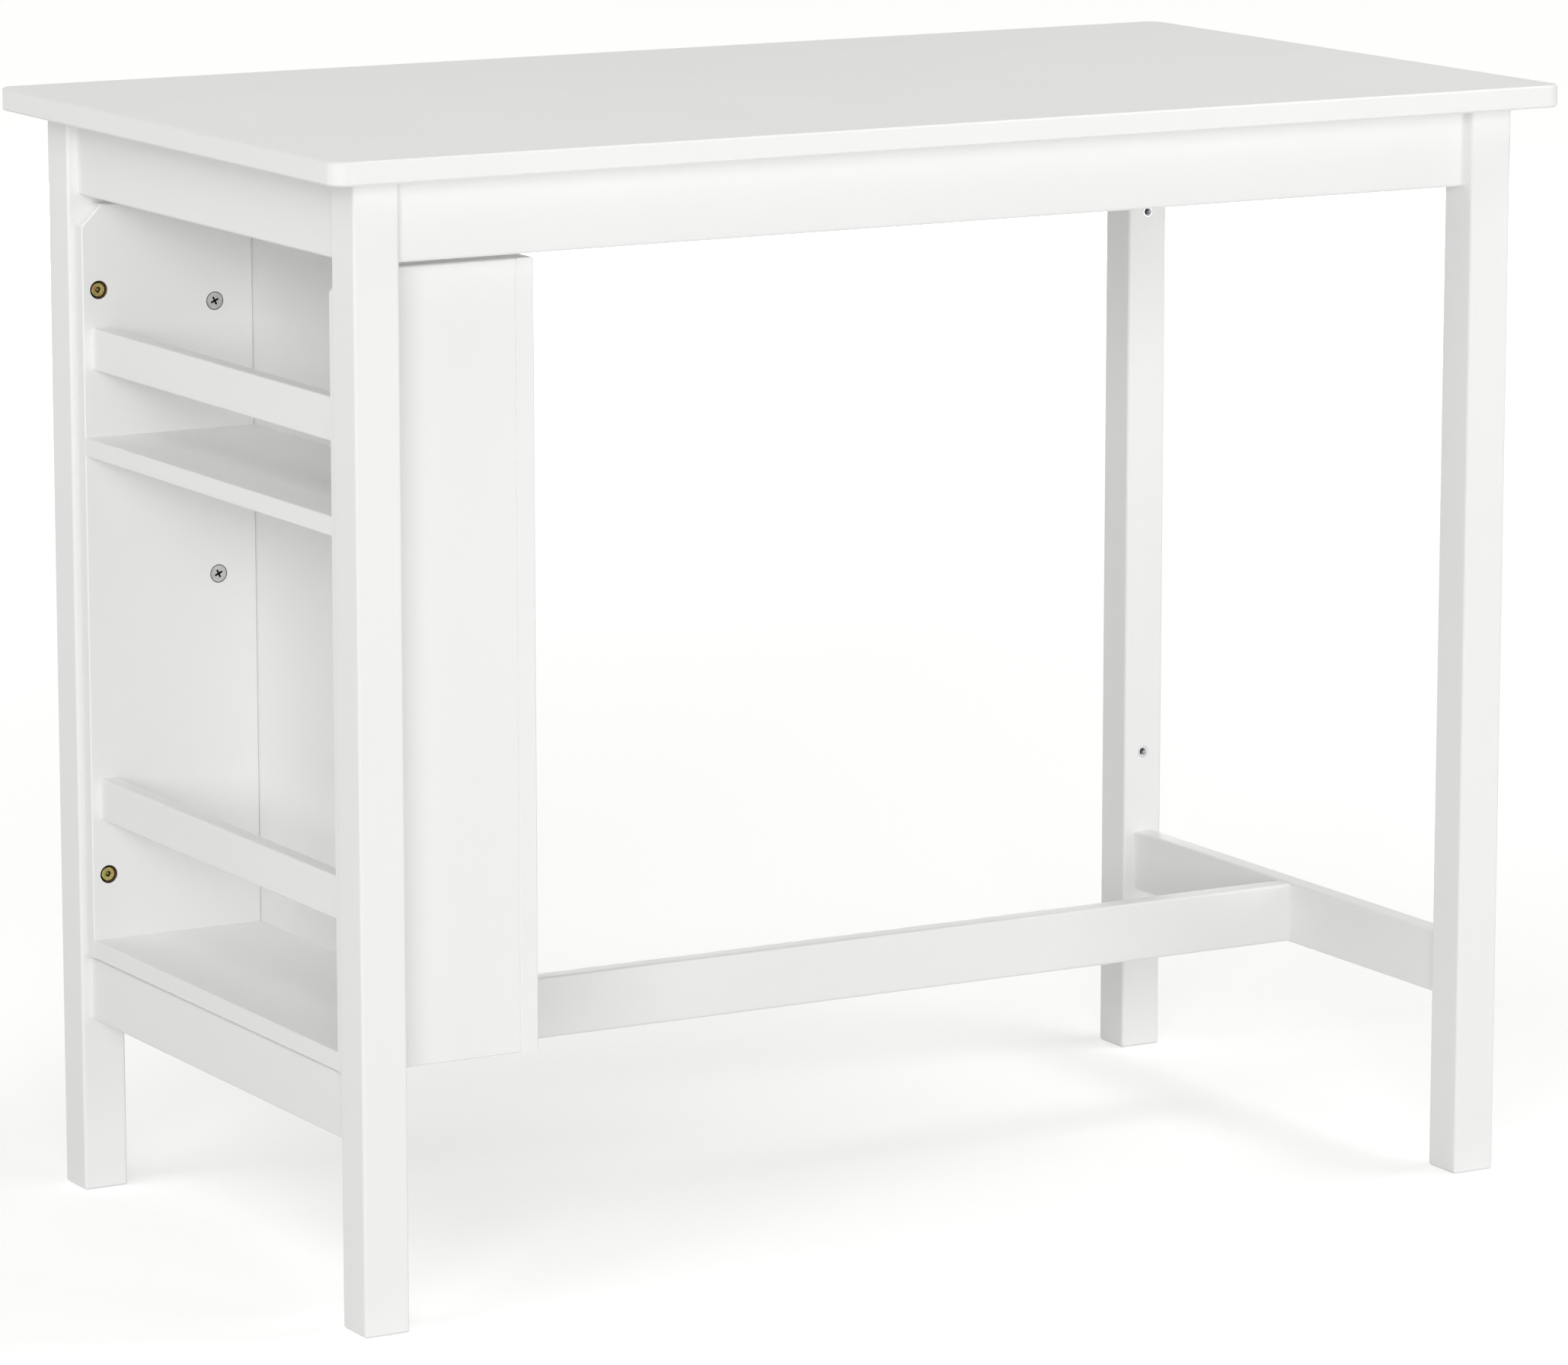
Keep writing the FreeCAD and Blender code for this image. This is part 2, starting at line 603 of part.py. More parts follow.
def make_cam_lock(label, side, rise):
    """A cam lock in a side panel, locked: its face is flush and its bolt comes in along its own +X.

    The hollow is open below and off centre, so its wall closes on the bolt's head as the cam turns.
    The slot lets the bolt's shank through for half a turn, under a lip that holds the head, and the
    entry at its far end lets the head in.
    """
    turn = FreeCAD.Rotation(FreeCAD.Vector(1, 0, 0), QUARTER_TURN * side)
    y = UNIT_IN_Y if side > 0 else "-" + UNIT_IN_Y
    body = new_body(label, (DIVIDER_LEFT + " - cam_inset", y, "%s + %s" % (UNIT_LOW, rise)), turn)
    reach = "(%s + cut_overrun)" % CAM_RADIUS

    disc = new_sketch(body, label + "_disc", "XY_Plane")
    draw_circles(disc, [("0", "0")], "2 * " + CAM_RADIUS)
    pad(body, disc, CAM_LENGTH, backwards=True)

    hollow = new_sketch(body, label + "_hollow", "XY_Plane", "%s - %s" % (HOLLOW_ROOM, CAM_DEPTH))
    draw_circles(hollow, [("-cam_eccentricity", "0")], "2 * cam_hollow_radius")
    pocket(body, hollow, CAM_LENGTH)

    slot = new_sketch(body, label + "_slot", "XY_Plane", "%s - %s" % (SHANK_ROOM, CAM_DEPTH))
    draw_outline(slot, [
        (reach, HEAD_ROOM), ("0", HEAD_ROOM), ("0", "0"), ("-" + reach, "0"),
        ("-" + reach, "-" + reach), (reach, "-" + reach),
    ])
    pocket(body, slot, CAM_LENGTH)

    entry = new_sketch(body, label + "_entry", "XY_Plane", "%s - %s" % (HOLLOW_ROOM, CAM_DEPTH))
    draw_rectangle(entry, "-" + reach, "-" + HEAD_ROOM, "0", HEAD_ROOM)
    pocket(body, entry, CAM_LENGTH)

    cross = new_sketch(body, label + "_cross", "XY_Plane", turn=CROSS_TURN)
    arm = "cross_span / 2"
    half = "cross_width / 2"
    draw_outline(cross, [
        (arm, "-" + half), (arm, half), (half, half), (half, arm), ("-" + half, arm), ("-" + half, half),
        ("-" + arm, half), ("-" + arm, "-" + half), ("-" + half, "-" + half), ("-" + half, "-" + arm),
        (half, "-" + arm), (half, "-" + half),
    ])
    pocket(body, cross, "cross_depth")
    return body


nodes = [
    make_top(),
    make_leg("leg_front_left", -1, -1),
    make_leg("leg_front_right", 1, -1),
    make_leg("leg_back_left", -1, 1),
    make_leg("leg_back_right", 1, 1),
    make_long_apron("apron_front", -1),
    make_long_apron("apron_back", 1),
    make_end_apron("apron_left", -1),
    make_end_apron("apron_right", 1),
    make_end_stretcher("stretcher_left", -1),
    make_end_stretcher("stretcher_right", 1),
    make_long_stretcher(),
    make_glue_blocks(),
    make_side_panel("side_panel_front", -1),
    make_side_panel("side_panel_back", 1),
    make_divider(),
    make_shelf("shelf_bottom", SHELF_LOWS[0]),
    make_shelf("shelf_upper", SHELF_LOWS[1]),
    make_guard_rail("guard_rail_lower", GUARD_LOWS[0]),
    make_guard_rail("guard_rail_upper", GUARD_LOWS[1]),
    make_leg_inserts(),
    make_panel_bolts(),
    make_cam_bolts(),
]
for side, side_name in ((-1, "front"), (1, "back")):
    for level, rise in CAM_HEIGHTS.items():
        nodes.append(make_cam_lock("cam_lock_%s_%s" % (side_name, level), side, rise))

doc.recompute()
for item in doc.Objects:
    if "Invalid" in item.State or "Error" in item.State:
        raise RuntimeError("%s failed: %s" % (item.Label, item.State))
for node in nodes:
    if node.Shape.isNull() or not node.Shape.isValid():
        raise RuntimeError("%s has no valid shape" % node.Label)
for node in nodes:
    node.Shape.exportStep("parts/%s.step" % node.Label)
print("%d sub-parts, %d solids" % (len(nodes), sum(len(node.Shape.Solids) for node in nodes)))
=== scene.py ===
import math

import bpy
from mathutils import Matrix, Vector


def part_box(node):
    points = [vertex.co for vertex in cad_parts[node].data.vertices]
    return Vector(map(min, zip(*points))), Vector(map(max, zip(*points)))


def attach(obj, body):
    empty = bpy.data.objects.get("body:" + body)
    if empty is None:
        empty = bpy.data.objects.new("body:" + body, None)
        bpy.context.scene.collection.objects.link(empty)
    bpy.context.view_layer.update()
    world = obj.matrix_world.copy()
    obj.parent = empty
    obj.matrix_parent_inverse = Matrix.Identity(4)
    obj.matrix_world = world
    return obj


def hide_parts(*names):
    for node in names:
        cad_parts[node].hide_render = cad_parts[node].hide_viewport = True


# Looks of the bar table: paint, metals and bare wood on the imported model, detailed bolts and inserts,
# a pale studio and the camera.
# Lengths are in metres, in the frame of the model: X along the table, Y to the back, Z up.

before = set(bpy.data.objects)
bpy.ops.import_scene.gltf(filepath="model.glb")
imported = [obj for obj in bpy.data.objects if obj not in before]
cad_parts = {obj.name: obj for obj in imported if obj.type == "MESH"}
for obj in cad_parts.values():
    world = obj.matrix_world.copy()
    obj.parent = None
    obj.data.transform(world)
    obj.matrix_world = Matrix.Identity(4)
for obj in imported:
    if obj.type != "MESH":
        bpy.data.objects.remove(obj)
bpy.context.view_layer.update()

# Camera, fitted to the photograph: from the left front, looking down on the top
CAMERA_PLACE = (-2.9053, -5.0927, 1.5210)
CAMERA_TURN = math.radians(-29.724)
CAMERA_TILT = math.radians(-10.701)
SENSOR_WIDTH_MM = 36.0
PHOTO_WIDTH = 2059
FOCAL_LENGTH_PIXELS = 9622.4
CLIP_END = 100.0

# Studio: the floor is lit like any other surface, and glows for the eye so that it reads as white,
# more so in the distance, where the lights do not reach
FLOOR_SIDE = 60.0
FLOOR_PALE = (0.88, 0.88, 0.88)
FLOOR_PALER = (0.90, 0.90, 0.90)
FLOOR_ROUGHNESS = 0.9
FLOOR_GLOW_NEAR = 0.40
FLOOR_GLOW_FAR = 0.74
FLOOR_NEAR = 0.6
FLOOR_FAR = 5.0
SKY_STRENGTH = 0.26
SKY_COLOUR = (1.0, 0.99, 0.966, 1.0)
FULL_WHITE = (1.0, 1.0, 1.0, 1.0)

# Lights: place, aim, width, height, power in watts; the back light stays below the top's plane
LIGHTS = {
    "camera_light": ((-5.4, -8.0, 2.5), (0.0, 0.0, 0.5), 4.8, 3.4, 386.0),
    "left_high_light": ((-3.0, -0.4, 3.0), (-0.45, 0.0, 0.5), 2.4, 2.4, 35.0),
    "top_light": ((2.0, -0.8, 3.8), (0.2, 0.1, 0.9), 1.6, 1.6, 37.0),
    "right_light": ((2.6, -4.2, 1.0), (0.4, 0.2, 0.4), 2.0, 1.6, 39.0),
    "back_light": ((2.4, 6.6, 0.5), (0.0, 0.2, 0.45), 4.0, 0.7, 136.0),
}

# Lights that leave no glare on the paint
MATTE_LIGHTS = ("camera_light",)

# How the noise is drawn out for grain that runs along X, Y or Z
GRAIN_STRETCH = {"x": (0.04, 1.0, 1.0), "y": (1.0, 0.04, 1.0), "z": (1.0, 1.0, 0.04)}

# Bolts that hold the shelf unit's sides, with the model's head and length
BOLT_HEAD_RADIUS = 0.0063
BOLT_FACE_RADIUS = 0.0049
BOLT_SHOULDER = 0.0018
BOLT_HEAD_HEIGHT = 0.004
BOLT_LENGTH = 0.026
BOLT_PLAIN_LENGTH = 0.012
SOCKET_WIDTH = 0.004
SOCKET_DEPTH = 0.0018
SOCKET_POINT = 0.0006
SOCKET_TIP_RADIUS = 0.00015

# The thread that bolts and inserts share, and the inserts
THREAD_PITCH = 0.001
THREAD_ROOT = 0.0025
THREAD_DEPTH = 0.0005
THREAD_CLEARANCE = 0.00005
INSERT_RADIUS = 0.005
INSERT_LENGTH = 0.013
INSERT_PITCH = 0.0025
INSERT_THREAD_DEPTH = 0.0007
INSERT_MOUTH_RADIUS = 0.0036
INSERT_RIM_END = 0.0009
INSERT_THREAD_START = 0.0012
RIM_CHAMFER = 0.0003

# How finely the bolts and inserts are drawn, and where their shading breaks
SIDES = 36
SHOULDER_STEPS = 5
STEPS_PER_PITCH = 5
SHARP_ANGLE = math.radians(35)

# Signs of Y at the two sides of the table
SIDE_SIGNS = {"front": -1, "back": 1}

# Bare board shows in the side panels' bores: below this depth and within this reach of an axis
BORE_SKIN = 0.0002
BORE_REACH = 0.009

# Rounding of the edges of the top and of the glue blocks
TOP_ROUNDING = 0.0009
BLOCK_ROUNDING = 0.0012
ROUNDING_SEGMENTS = 3
FLAT_ANGLE = math.radians(0.5)
EDGE_ANGLE = math.radians(30)


def add_camera():
    data = bpy.data.cameras.new("photo_camera")
    data.sensor_fit = "HORIZONTAL"
    data.sensor_width = SENSOR_WIDTH_MM
    data.lens = SENSOR_WIDTH_MM * FOCAL_LENGTH_PIXELS / PHOTO_WIDTH
    data.clip_end = CLIP_END
    camera = bpy.data.objects.new("photo_camera", data)
    camera.location = CAMERA_PLACE
    camera.rotation_euler = (math.pi / 2 + CAMERA_TILT, 0.0, CAMERA_TURN)
    bpy.context.scene.collection.objects.link(camera)
    bpy.context.scene.camera = camera


def add_light(name, place, aim, width, height, power):
    data = bpy.data.lights.new(name, "AREA")
    data.shape = "RECTANGLE"
    data.size = width
    data.size_y = height
    data.energy = power
    light = bpy.data.objects.new(name, data)
    light.location = place
    light.rotation_euler = (Vector(aim) - Vector(place)).to_track_quat("-Z", "Y").to_euler()
    light.visible_camera = False
    light.visible_glossy = name not in MATTE_LIGHTS
    bpy.context.scene.collection.objects.link(light)


def grey(level):
    return (level, level, level)


class Nodes:
    """A short way to add nodes to a tree and join them."""

    def __init__(self, tree):
        self.tree = tree

    def add(self, kind, inputs=None, **settings):
        node = self.tree.nodes.new(kind)
        for key, setting in settings.items():
            setattr(node, key, setting)
        for key, source in (inputs or {}).items():
            self.put(node.inputs[key], source)
        return node

    def put(self, socket, source):
        """Sets a socket to a number or colour, or links it to another node's output."""
        if isinstance(source, bpy.types.NodeSocket):
            self.tree.links.new(source, socket)
        else:
            socket.default_value = source

    def noise(self, scale, detail, stretch=(1.0, 1.0, 1.0)):
        """Noise over the object's own coordinates, drawn out along an axis whose stretch is small."""
        place = self.add("ShaderNodeTexCoord")
        mapping = self.add("ShaderNodeMapping", {"Vector": place.outputs["Object"], "Scale": stretch})
        inputs = {"Vector": mapping.outputs["Vector"], "Scale": scale, "Detail": detail}
        return self.add("ShaderNodeTexNoise", inputs).outputs["Fac"]

    def ramp(self, factor, stops):
        """A colour ramp through (position, colour) stops."""
        node = self.add("ShaderNodeValToRGB", {"Fac": factor})
        elements = node.color_ramp.elements
        while len(elements) < len(stops):
            elements.new(0.5)
        for element, (position, colour) in zip(elements, stops):
            element.position = position
            element.color = (*colour, 1.0)
        return node.outputs["Color"]

    def spread(self, factor, low, high):
        """Maps a factor from 0..1 to low..high."""
        inputs = {"Value": factor, "To Min": low, "To Max": high}
        return self.add("ShaderNodeMapRange", inputs).outputs["Result"]

    def bump(self, height, strength, distance, normal=None):
        inputs = {"Height": height, "Strength": strength, "Distance": distance}
        if normal is not None:
            inputs["Normal"] = normal
        return self.add("ShaderNodeBump", inputs).outputs["Normal"]

    def recess_shade(self, colour, reach, dark):
        """Darkens a colour in recesses narrower than the reach: painted shade, taken from ambient occlusion.
        """
        shade = self.add("ShaderNodeAmbientOcclusion", {"Distance": reach}, samples=8).outputs["AO"]
        depth = self.ramp(shade, [(0.25, grey(dark)), (0.75, grey(1.0))])
        return self.blend("MULTIPLY", colour, depth)

    def blend(self, way, first, second):
        """Two colours blended in full, in the way that a mix node names."""
        mix = self.add("ShaderNodeMix", data_type="RGBA", blend_type=way)
        self.put(mix.inputs["Factor"], 1.0)
        self.put(mix.inputs["A"], first)
        self.put(mix.inputs["B"], second)
        return mix.outputs["Result"]

    def turned(self):
        """Distance from the axis and from the middle of a piece turned about Y, as shares of its box."""
        place = self.add("ShaderNodeTexCoord").outputs["Generated"]
        offset = self.add("ShaderNodeVectorMath", {0: place, 1: (0.5, 0.5, 0.5)}, operation="SUBTRACT")
        inputs = {0: offset.outputs["Vector"], 1: (1.0, 0.0, 1.0)}
        flat = self.add("ShaderNodeVectorMath", inputs, operation="MULTIPLY").outputs["Vector"]
        reach = self.add("ShaderNodeVectorMath", {0: flat}, operation="LENGTH").outputs["Value"]
        along = self.add("ShaderNodeSeparateXYZ", {"Vector": offset.outputs["Vector"]}).outputs["Y"]
        height = self.add("ShaderNodeMath", {0: along}, operation="ABSOLUTE").outputs["Value"]
        return reach, height

    def seen(self):
        """One for what the eye sees, straight on or in a reflection, and nothing for light on its way."""
        path = self.add("ShaderNodeLightPath")
        total = path.outputs["Is Camera Ray"]
        for kind in ("Is Glossy Ray", "Is Transmission Ray"):
            node = self.add("ShaderNodeMath", {0: total, 1: path.outputs[kind]}, operation="MAXIMUM")
            total = node.outputs["Value"]
        return total


class Material(Nodes):
    """A new material whose nodes end in a Principled shader."""

    def __init__(self, name):
        self.material = bpy.data.materials.new(name)
        self.material.use_nodes = True
        super().__init__(self.material.node_tree)
        self.shader = self.tree.nodes["Principled BSDF"]

    def finish(self, **inputs):
        for key, source in inputs.items():
            self.put(self.shader.inputs[key.replace("_", " ").title()], source)
        return self.material


def white_paint(name, grain=None):
    """Satin white lacquer with a faint orange peel; over solid wood a trace of the grain shows through."""
    nodes = Material(name)
    stops = [(0.3, (0.890, 0.890, 0.885)), (0.7, (0.908, 0.908, 0.905))]
    colour = nodes.ramp(nodes.noise(scale=2.2, detail=3.0), stops)
    roughness = nodes.spread(nodes.noise(scale=14.0, detail=4.0), low=0.36, high=0.46)
    normal = nodes.bump(nodes.noise(scale=420.0, detail=2.0), strength=0.05, distance=0.0004)
    if grain:
        lines = nodes.noise(scale=160.0, detail=5.0, stretch=GRAIN_STRETCH[grain])
        normal = nodes.bump(lines, strength=0.06, distance=0.0004, normal=normal)
    return nodes.finish(base_color=colour, roughness=roughness, normal=normal)


def yellow_zinc():
    """Yellow chromate on zinc: straw to green and copper, with painted shade in the socket's walls and on
    the shoulder.
    """
    nodes = Material("yellow_zinc")
    stops = [(0.32, (0.40, 0.46, 0.12)), (0.48, (0.70, 0.62, 0.22)), (0.62, (0.74, 0.40, 0.18))]
    colour = nodes.ramp(nodes.noise(scale=110.0, detail=2.0), stops)
    # Painted shade in the socket and the thread's grooves, darker where ambient occlusion is deeper
    colour = nodes.recess_shade(colour, reach=0.004, dark=0.03)
    # Painted shade by distance from the axis: a dark band on the socket's walls and a dark ring at the
    # shoulder, where the head meets its counterbore; the middle of the socket's floor is left undarkened
    dark = grey(0.10)
    light = grey(1.0)
    bands = [(0.075, light), (0.10, dark), (0.165, dark), (0.20, light), (0.40, light), (0.47, dark)]
    colour = nodes.blend("MULTIPLY", colour, nodes.ramp(nodes.turned()[0], bands))
    roughness = nodes.spread(nodes.noise(scale=900.0, detail=2.0), low=0.22, high=0.36)
    return nodes.finish(base_color=colour, roughness=roughness, metallic=1.0)


def die_cast_zinc():
    """Bare die-cast zinc alloy, pale grey with a fine cast grain, with a painted shade line at the rim and
    painted shade in the cross.
    """
    nodes = Material("die_cast_zinc")
    stops = [(0.3, (0.68, 0.69, 0.68)), (0.7, (0.82, 0.83, 0.82))]
    colour = nodes.ramp(nodes.noise(scale=300.0, detail=4.0), stops)
    reach, height = nodes.turned()
    # Painted shade: a dark line round the rim, where the cam meets its bore
    rim = nodes.ramp(reach, [(0.44, grey(1.0)), (0.475, grey(0.10))])
    # Painted shade in the cross recess: near black below the face, within the cross's reach of the axis
    deep = nodes.ramp(height, [(0.455, grey(0.02)), (0.48, grey(1.0))])
    wide = nodes.ramp(reach, [(0.36, grey(0.0)), (0.40, grey(1.0))])
    cross = nodes.blend("LIGHTEN", deep, wide)
    colour = nodes.blend("MULTIPLY", nodes.blend("MULTIPLY", colour, rim), cross)
    roughness = nodes.spread(nodes.noise(scale=700.0, detail=3.0), low=0.42, high=0.58)
    normal = nodes.bump(nodes.noise(scale=1500.0, detail=2.0), strength=0.25, distance=0.0002)
    return nodes.finish(base_color=colour, roughness=roughness, metallic=1.0, normal=normal)


def bright_zinc():
    """Bright zinc plate on steel, with painted shade in its recesses and a painted shade line at the rim."""
    nodes = Material("bright_zinc")
    stops = [(0.3, (0.60, 0.61, 0.63)), (0.7, (0.74, 0.75, 0.76))]
    colour = nodes.ramp(nodes.noise(scale=220.0, detail=3.0), stops)
    # Painted shade in the thread's grooves and other recesses, from ambient occlusion
    colour = nodes.recess_shade(colour, reach=0.003, dark=0.03)
    # Painted shade: a dark line round the rim, where the insert meets its bore
    rim = nodes.ramp(nodes.turned()[0], [(0.45, grey(1.0)), (0.48, grey(0.25))])
    colour = nodes.blend("MULTIPLY", colour, rim)
    roughness = nodes.spread(nodes.noise(scale=800.0, detail=2.0), low=0.22, high=0.36)
    return nodes.finish(base_color=colour, roughness=roughness, metallic=1.0)


def bare_pine():
    """Unpainted pine: pale and darker bands along the grain."""
    nodes = Material("bare_pine")
    bands = nodes.noise(scale=90.0, detail=6.0, stretch=GRAIN_STRETCH["x"])
    stops = [(0.35, (0.46, 0.30, 0.16)), (0.5, (0.60, 0.43, 0.25)), (0.65, (0.66, 0.50, 0.31))]
    colour = nodes.ramp(bands, stops)
    roughness = nodes.spread(bands, low=0.62, high=0.78)
    normal = nodes.bump(bands, strength=0.2, distance=0.0006)
    return nodes.finish(base_color=colour, roughness=roughness, normal=normal)


def bare_board():
    """Unpainted fibreboard, as a drill leaves it: brown with fine fibres."""
    nodes = Material("bare_board")
    fibres = nodes.noise(scale=900.0, detail=4.0)
    colour = nodes.ramp(fibres, [(0.35, (0.16, 0.10, 0.055)), (0.65, (0.26, 0.17, 0.10))])
    roughness = nodes.spread(fibres, low=0.75, high=0.9)
    normal = nodes.bump(fibres, strength=0.3, distance=0.0003)
    return nodes.finish(base_color=colour, roughness=roughness, normal=normal)


def bolt_places():
    """Where the model has the panel bolts: their common X, and their heights by level."""
    low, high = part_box("panel_bolts")
    heights = {"lower": low.z + BOLT_HEAD_RADIUS, "upper": high.z - BOLT_HEAD_RADIUS}
    return (low.x + high.x) / 2, heights


def bare_bores(name, axes, material):
    """Shows bare board on a side panel's faces that lie inside its bores; axes are (x, z) places."""
    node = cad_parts[name]
    node.data.materials.append(material)
    low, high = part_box(name)
    for face in node.data.polygons:
        centre = node.matrix_world @ face.center
        inside = low.y + BORE_SKIN < centre.y < high.y - BORE_SKIN
        if inside and min(math.hypot(centre.x - x, centre.z - z) for x, z in axes) < BORE_REACH:
            face.material_index = 1


def round_edges(node, width):
    """Rounds a node's edges in the picture alone, after its flat faces are joined up."""
    flat = node.modifiers.new("join_flat_faces", "DECIMATE")
    flat.decimate_type = "DISSOLVE"
    flat.angle_limit = FLAT_ANGLE
    bevel = node.modifiers.new("round_edges", "BEVEL")
    bevel.width = width
    bevel.segments = ROUNDING_SEGMENTS
    bevel.limit_method = "ANGLE"
    bevel.angle_limit = EDGE_ANGLE
    bevel.harden_normals = True


def dress_nodes(bright, yellow):
    """Gives every node of the model its material, with paint over grain where the piece is solid wood."""
    boards = white_paint("white_paint_board")
    paints = {axis: white_paint("white_paint_grain_" + axis, axis) for axis in GRAIN_STRETCH}
    others = {"panel_bolts": yellow, "leg_inserts": bright, "cam_bolts": bright, "glue_blocks": bare_pine()}
    cam_metal = die_cast_zinc()
    for name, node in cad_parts.items():
        low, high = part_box(name)
        size = high - low
        longest = "xyz"[max(range(3), key=lambda axis: size[axis])]
        if name.startswith("cam_lock"):
            material = cam_metal
        elif name in others:
            material = others[name]
        elif name.startswith(("leg", "apron", "stretcher", "guard_rail")):
            material = paints[longest]
        else:
            material = boards
        node.data.materials.clear()
        node.data.materials.append(material)


def dress_bores():
    """Shows bare board in the bores of the bolts and the cam locks, which both side panels share."""
    middle, heights = bolt_places()
    axes = [(middle, height) for height in heights.values()]
    cams = [sum(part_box("cam_lock_front_" + level), Vector()) / 2 for level in ("upper", "middle", "lower")]
    axes += [(cam.x, cam.z) for cam in cams]
    fibreboard = bare_board()
    for side_name in SIDE_SIGNS:
        bare_bores("side_panel_" + side_name, axes, fibreboard)


def circle(radius, depth):
    """A ring of points about the axis; the radius is a number, or a function of the turn and the depth."""
    points = []
    for side in range(SIDES):
        turn = 2 * math.pi * side / SIDES
        reach = radius(turn, depth) if callable(radius) else radius
        points.append(Vector((reach * math.cos(turn), reach * math.sin(turn), depth)))
    return points


def hexagon(width):
    """The reach of a hexagon of a width across flats, as a function of the turn, at any depth."""
    sixth = math.pi / 3

    def reach(turn, depth):
        return width / 2 / math.cos(turn % sixth - sixth / 2)

    return reach


def thread(root, height, pitch):
    """The reach of a right-hand thread, as a function of the turn and the depth."""

    def reach(turn, depth):
        phase = (depth / pitch - turn / (2 * math.pi)) % 1.0
        return root + height * (1.0 - abs(2.0 * phase - 1.0))

    return reach


def threaded_rings(reach, start, end, pitch):
    """Rings along a thread, close enough to show its turns."""
    count = max(2, round((end - start) / pitch * STEPS_PER_PITCH))
    return [circle(reach, start + (end - start) * step / count) for step in range(count + 1)]


def loft(name, rings, place, side, looped, material, node):
    """A closed mesh through rings of points, its axis along Y: backwards into a leg for a side of 1."""
    points = [point for ring in rings for point in ring]
    pairs = list(zip(range(len(rings)), range(1, len(rings))))
    if looped:
        pairs.append((len(rings) - 1, 0))
    faces = []
    for first, second in pairs:
        for i in range(SIDES):
            j = (i + 1) % SIDES
            faces.append((first * SIDES + i, second * SIDES + i, second * SIDES + j, first * SIDES + j))
    if not looped:
        faces.append(tuple(range(SIDES)))
        faces.append(tuple(reversed(range(len(points) - SIDES, len(points)))))
    axes = Matrix(((-side, 0, 0), (0, 0, side), (0, 1, 0)))
    mesh = bpy.data.meshes.new(name)
    mesh.from_pydata([axes @ point + Vector(place) for point in points], [], faces)
    mesh.update()
    mesh.shade_smooth()
    mesh.set_sharp_from_angle(angle=SHARP_ANGLE)
    mesh.materials.append(material)
    piece = bpy.data.objects.new(name, mesh)
    bpy.context.scene.collection.objects.link(piece)
    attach(piece, "table")
    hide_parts(node)


def bolt_rings():
    """A flat-headed bolt from the point in its socket to its far end; depth 0 is the model's head face."""
    socket = hexagon(SOCKET_WIDTH)
    lead = hexagon(SOCKET_WIDTH + 2 * RIM_CHAMFER)
    outer = BOLT_HEAD_RADIUS
    face_depth = RIM_CHAMFER / 2
    rings = [
        circle(SOCKET_TIP_RADIUS, SOCKET_DEPTH + SOCKET_POINT),
        circle(socket, SOCKET_DEPTH),
        circle(socket, 2 * RIM_CHAMFER),
        circle(lead, RIM_CHAMFER),
        circle(BOLT_FACE_RADIUS / 2, face_depth),
    ]
    for step in range(SHOULDER_STEPS + 1):
        turn = math.pi / 2 * step / SHOULDER_STEPS
        reach = BOLT_FACE_RADIUS + (outer - BOLT_FACE_RADIUS) * math.sin(turn)
        rings.append(circle(reach, face_depth + BOLT_SHOULDER * (1 - math.cos(turn))))
    rings.append(circle(outer, BOLT_HEAD_HEIGHT - RIM_CHAMFER))
    rings.append(circle(outer - RIM_CHAMFER, BOLT_HEAD_HEIGHT))
    crest = THREAD_ROOT + THREAD_DEPTH
    rings.append(circle(crest, BOLT_HEAD_HEIGHT))
    rings.append(circle(crest, BOLT_PLAIN_LENGTH))
    reach = thread(THREAD_ROOT, THREAD_DEPTH, THREAD_PITCH)
    start = BOLT_PLAIN_LENGTH + THREAD_PITCH
    rings += threaded_rings(reach, start, BOLT_LENGTH - THREAD_PITCH, THREAD_PITCH)
    rings.append(circle(THREAD_ROOT - RIM_CHAMFER, BOLT_LENGTH))
    return rings


def insert_rings(phase):
    """An insert as a tube, from the mouth in through the bore, round the far end and back outside.

    The phase is how far the mouth lies behind the bolt's head, so that the two threads agree.
    """
    bore = thread(THREAD_ROOT + THREAD_CLEARANCE, THREAD_DEPTH, THREAD_PITCH)
    coarse = thread(INSERT_RADIUS - INSERT_THREAD_DEPTH, INSERT_THREAD_DEPTH, INSERT_PITCH)
    mouth = INSERT_MOUTH_RADIUS - THREAD_ROOT
    inside = threaded_rings(bore, mouth + phase, INSERT_LENGTH + phase, THREAD_PITCH)
    outside = threaded_rings(coarse, INSERT_THREAD_START, INSERT_LENGTH, INSERT_PITCH)
    rings = [circle(INSERT_MOUTH_RADIUS, 0.0)]
    rings += [[point - Vector((0, 0, phase)) for point in ring] for ring in inside]
    rings += reversed(outside)
    rings.append(circle(INSERT_RADIUS, INSERT_RIM_END))
    rings.append(circle(INSERT_RADIUS, RIM_CHAMFER))
    rings.append(circle(INSERT_RADIUS - RIM_CHAMFER, 0.0))
    return rings


def add_hardware(bright, yellow):
    """Detailed bolts and inserts where the model has plain ones."""
    middle, heights = bolt_places()
    head_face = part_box("panel_bolts")[1].y - BOLT_LENGTH
    leg_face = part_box("leg_back_left")[0].y
    for side_name, side in SIDE_SIGNS.items():
        for level, height in heights.items():
            name = "panel_bolt_%s_%s" % (side_name, level)
            loft(name, bolt_rings(), (middle, side * head_face, height), side, False,
                 yellow, "panel_bolts")
            for end_name, x in (("left", middle), ("right", -middle)):
                name = "leg_insert_%s_%s_%s" % (side_name, end_name, level)
                loft(name, insert_rings(leg_face - head_face), (x, side * leg_face, height), side, True,
                     bright, "leg_inserts")


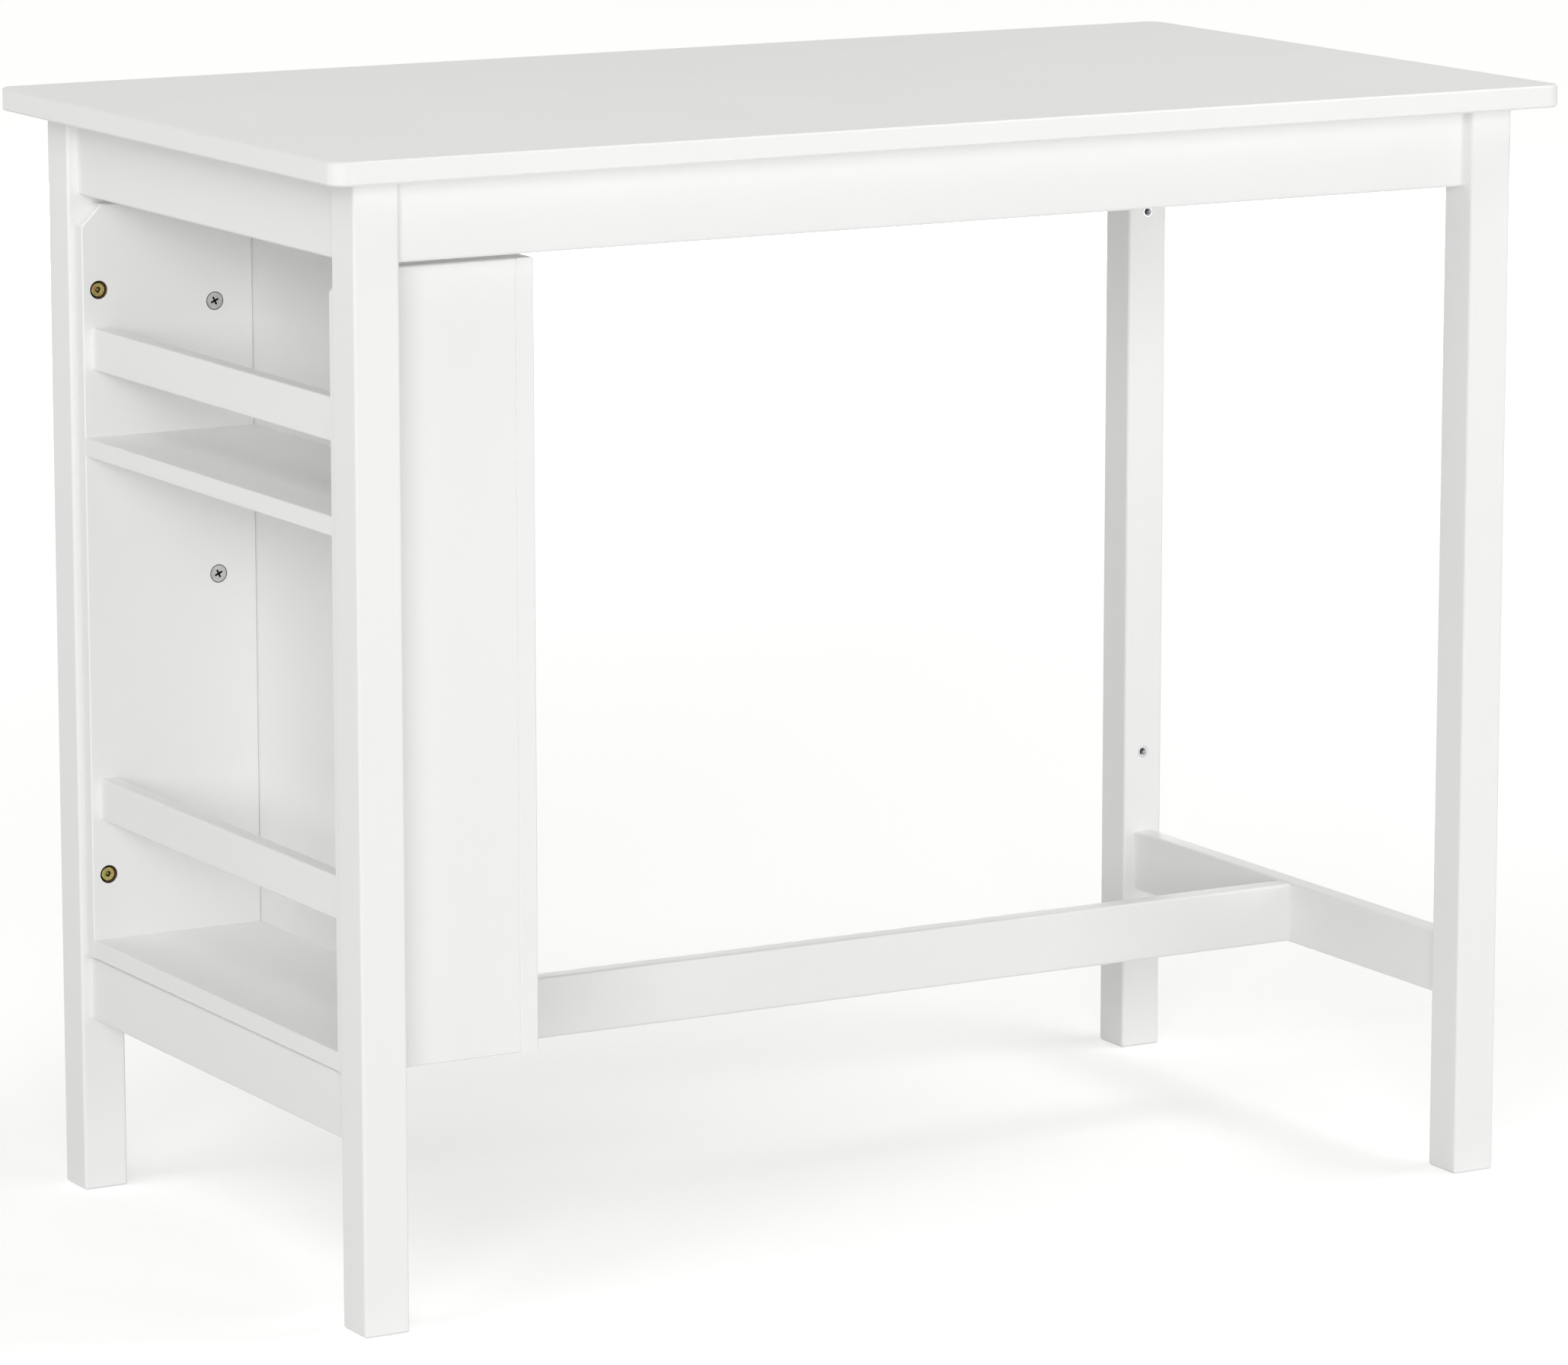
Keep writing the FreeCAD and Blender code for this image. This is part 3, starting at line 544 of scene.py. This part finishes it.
def add_floor():
    bpy.ops.mesh.primitive_plane_add(size=FLOOR_SIDE, location=(0.0, 0.0, 0.0))
    floor = bpy.context.object
    floor.name = "studio_floor"
    nodes = Material("floor_paper")
    colour = nodes.ramp(nodes.noise(scale=0.6, detail=2.0), [(0.2, FLOOR_PALE), (0.8, FLOOR_PALER)])
    place = nodes.add("ShaderNodeTexCoord").outputs["Object"]
    distance = nodes.add("ShaderNodeVectorMath", {0: place}, operation="LENGTH")
    fade = nodes.add("ShaderNodeMapRange", {
        "Value": distance.outputs["Value"], "From Min": FLOOR_NEAR, "From Max": FLOOR_FAR,
        "To Min": FLOOR_GLOW_NEAR, "To Max": FLOOR_GLOW_FAR,
    })
    glow = nodes.add("ShaderNodeMath", {0: nodes.seen(), 1: fade.outputs["Result"]}, operation="MULTIPLY")
    nodes.put(nodes.shader.inputs["Specular IOR Level"], 0.0)
    material = nodes.finish(base_color=colour, roughness=FLOOR_ROUGHNESS,
                            emission_color=FULL_WHITE, emission_strength=glow.outputs["Value"])
    floor.data.materials.append(material)


def add_sky():
    """A world that lights the table softly, and that the eye sees as white."""
    world = bpy.data.worlds.new("studio_world")
    bpy.context.scene.world = world
    world.use_nodes = True
    sky = Nodes(world.node_tree)
    lighting = world.node_tree.nodes["Background"]
    sky.put(lighting.inputs["Color"], SKY_COLOUR)
    sky.put(lighting.inputs["Strength"], SKY_STRENGTH)
    white = sky.add("ShaderNodeBackground", {"Color": FULL_WHITE, "Strength": 1.0})
    mix = sky.add("ShaderNodeMixShader", {"Fac": sky.seen()})
    sky.put(mix.inputs[1], lighting.outputs["Background"])
    sky.put(mix.inputs[2], white.outputs["Background"])
    sky.put(world.node_tree.nodes["World Output"].inputs["Surface"], mix.outputs["Shader"])


bpy.context.scene.view_settings.view_transform = "Standard"
add_camera()
add_floor()
add_sky()
for light_name, light_settings in LIGHTS.items():
    add_light(light_name, *light_settings)
plate = bright_zinc()
chromate = yellow_zinc()
dress_nodes(plate, chromate)
dress_bores()
round_edges(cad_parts["table_top"], TOP_ROUNDING)
round_edges(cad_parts["glue_blocks"], BLOCK_ROUNDING)
add_hardware(plate, chromate)
